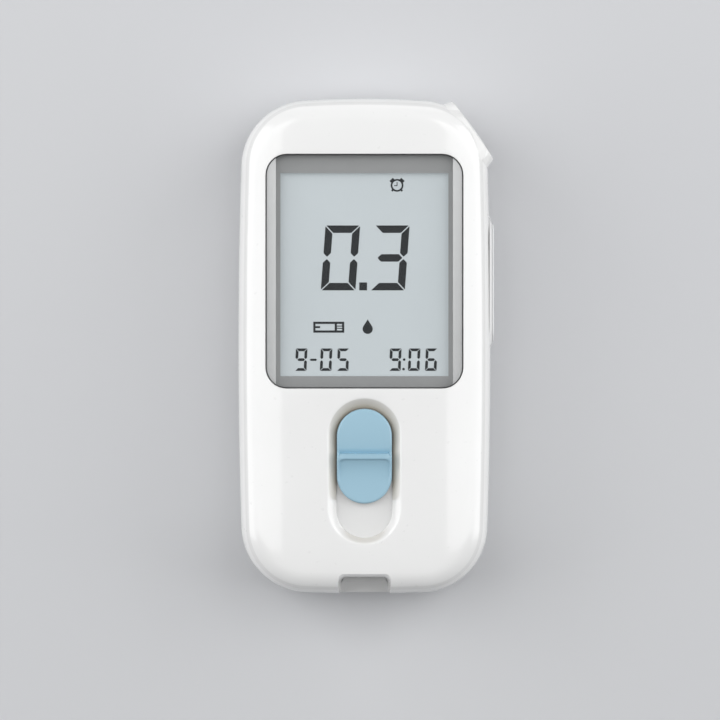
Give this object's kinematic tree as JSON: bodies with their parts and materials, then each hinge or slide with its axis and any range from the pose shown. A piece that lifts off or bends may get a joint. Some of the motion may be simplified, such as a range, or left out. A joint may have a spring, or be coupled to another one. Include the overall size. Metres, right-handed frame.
{
  "type": "ketone meter",
  "caption": "Slim white hand-held blood ketone meter with a large display window, a sliding strip ejector, a strip port in the bottom end and keys on its side and corner.",
  "frame": {"origin": "middle of the back, on the plane that the meter lies on", "axes": "+X to the right across the display, +Y towards the top end, +Z out of the display"},
  "size_m": [0.0517, 0.1, 0.0214],
  "materials": {
    "white_shell": "glossy moulded white",
    "white_key": "glossy moulded white",
    "clear_lens": "clear, polished",
    "dark_border": "printed grey",
    "display_film": "grey liquid crystal film",
    "display_glass": "clear, flat",
    "grey_moulding": "fine grained",
    "grey_guide": "fine grained",
    "blue_slider": "satin pale blue",
    "contact_rubber": "soft",
    "board_green": "lacquered laminate",
    "black_plastic": "moulded black",
    "plated_metal": "nickel plated",
    "spring_steel": "drawn wire, plated",
    "gold_contacts": "gold plated",
    "battery_jacket": "shrink wrapped jacket"
  },
  "bodies": {
    "case": {"front_shell": "white_shell", "rear_shell": "white_shell", "display_lens": "clear_lens", "lens_border": "dark_border", "lcd_polarizer": "display_film", "lcd_front_glass": "display_glass", "lcd_rear_glass": "display_glass", "lcd_reflector": "display_film", "lcd_carrier": "grey_moulding", "zebra_strips": "contact_rubber", "main_board": "board_green", "processor_chip": "black_plastic", "memory_chip": "black_plastic", "clock_crystal": "plated_metal", "power_switch": "black_plastic", "scroll_switches": "black_plastic", "rocker_pin": "plated_metal", "eject_spring": "spring_steel", "strip_socket": "black_plastic", "strip_contacts": "gold_contacts", "strip_guide": "grey_guide", "buzzer": "black_plastic", "battery_cell_left": "battery_jacket", "battery_cell_right": "battery_jacket", "battery_minus_plate": "plated_metal", "battery_plus_plate": "plated_metal", "battery_bridge_plate": "plated_metal", "battery_spring_left": "spring_steel", "battery_spring_right": "spring_steel", "case_screws": "spring_steel"},
    "door": {"battery_door": "white_shell"},
    "ejector": {"eject_slider": "blue_slider", "eject_carriage": "grey_moulding"},
    "power_button": {"power_key": "white_key", "power_plunger": "black_plastic"},
    "rocker": {"scroll_rocker": "white_key"}
  },
  "joints": [
    {"name": "door_slide", "type": "slide", "parent": "case", "child": "door", "axis": [0, 1, 0], "range_m": [0, 0.06]},
    {"name": "eject_slide", "type": "slide", "parent": "case", "child": "ejector", "axis": [0, -1, 0], "range_m": [0, 0.0068], "stiffness_N_per_m": 80, "springref_m": -0.002, "deforming": ["eject_spring"]},
    {"name": "power_press", "type": "slide", "parent": "case", "child": "power_button", "axis": [-0.8151, -0.5793, 0], "range_m": [0, 0.0005], "stiffness_N_per_m": 800, "springref_m": -0.0003},
    {"name": "rocker_tilt", "type": "hinge", "parent": "case", "child": "rocker", "pos_m": [0.02227, 0.0127, 0.011], "axis": [0, 0, 1], "range_deg": [-2, 2], "stiffness_Nm_per_rad": 0.05}
  ]
}
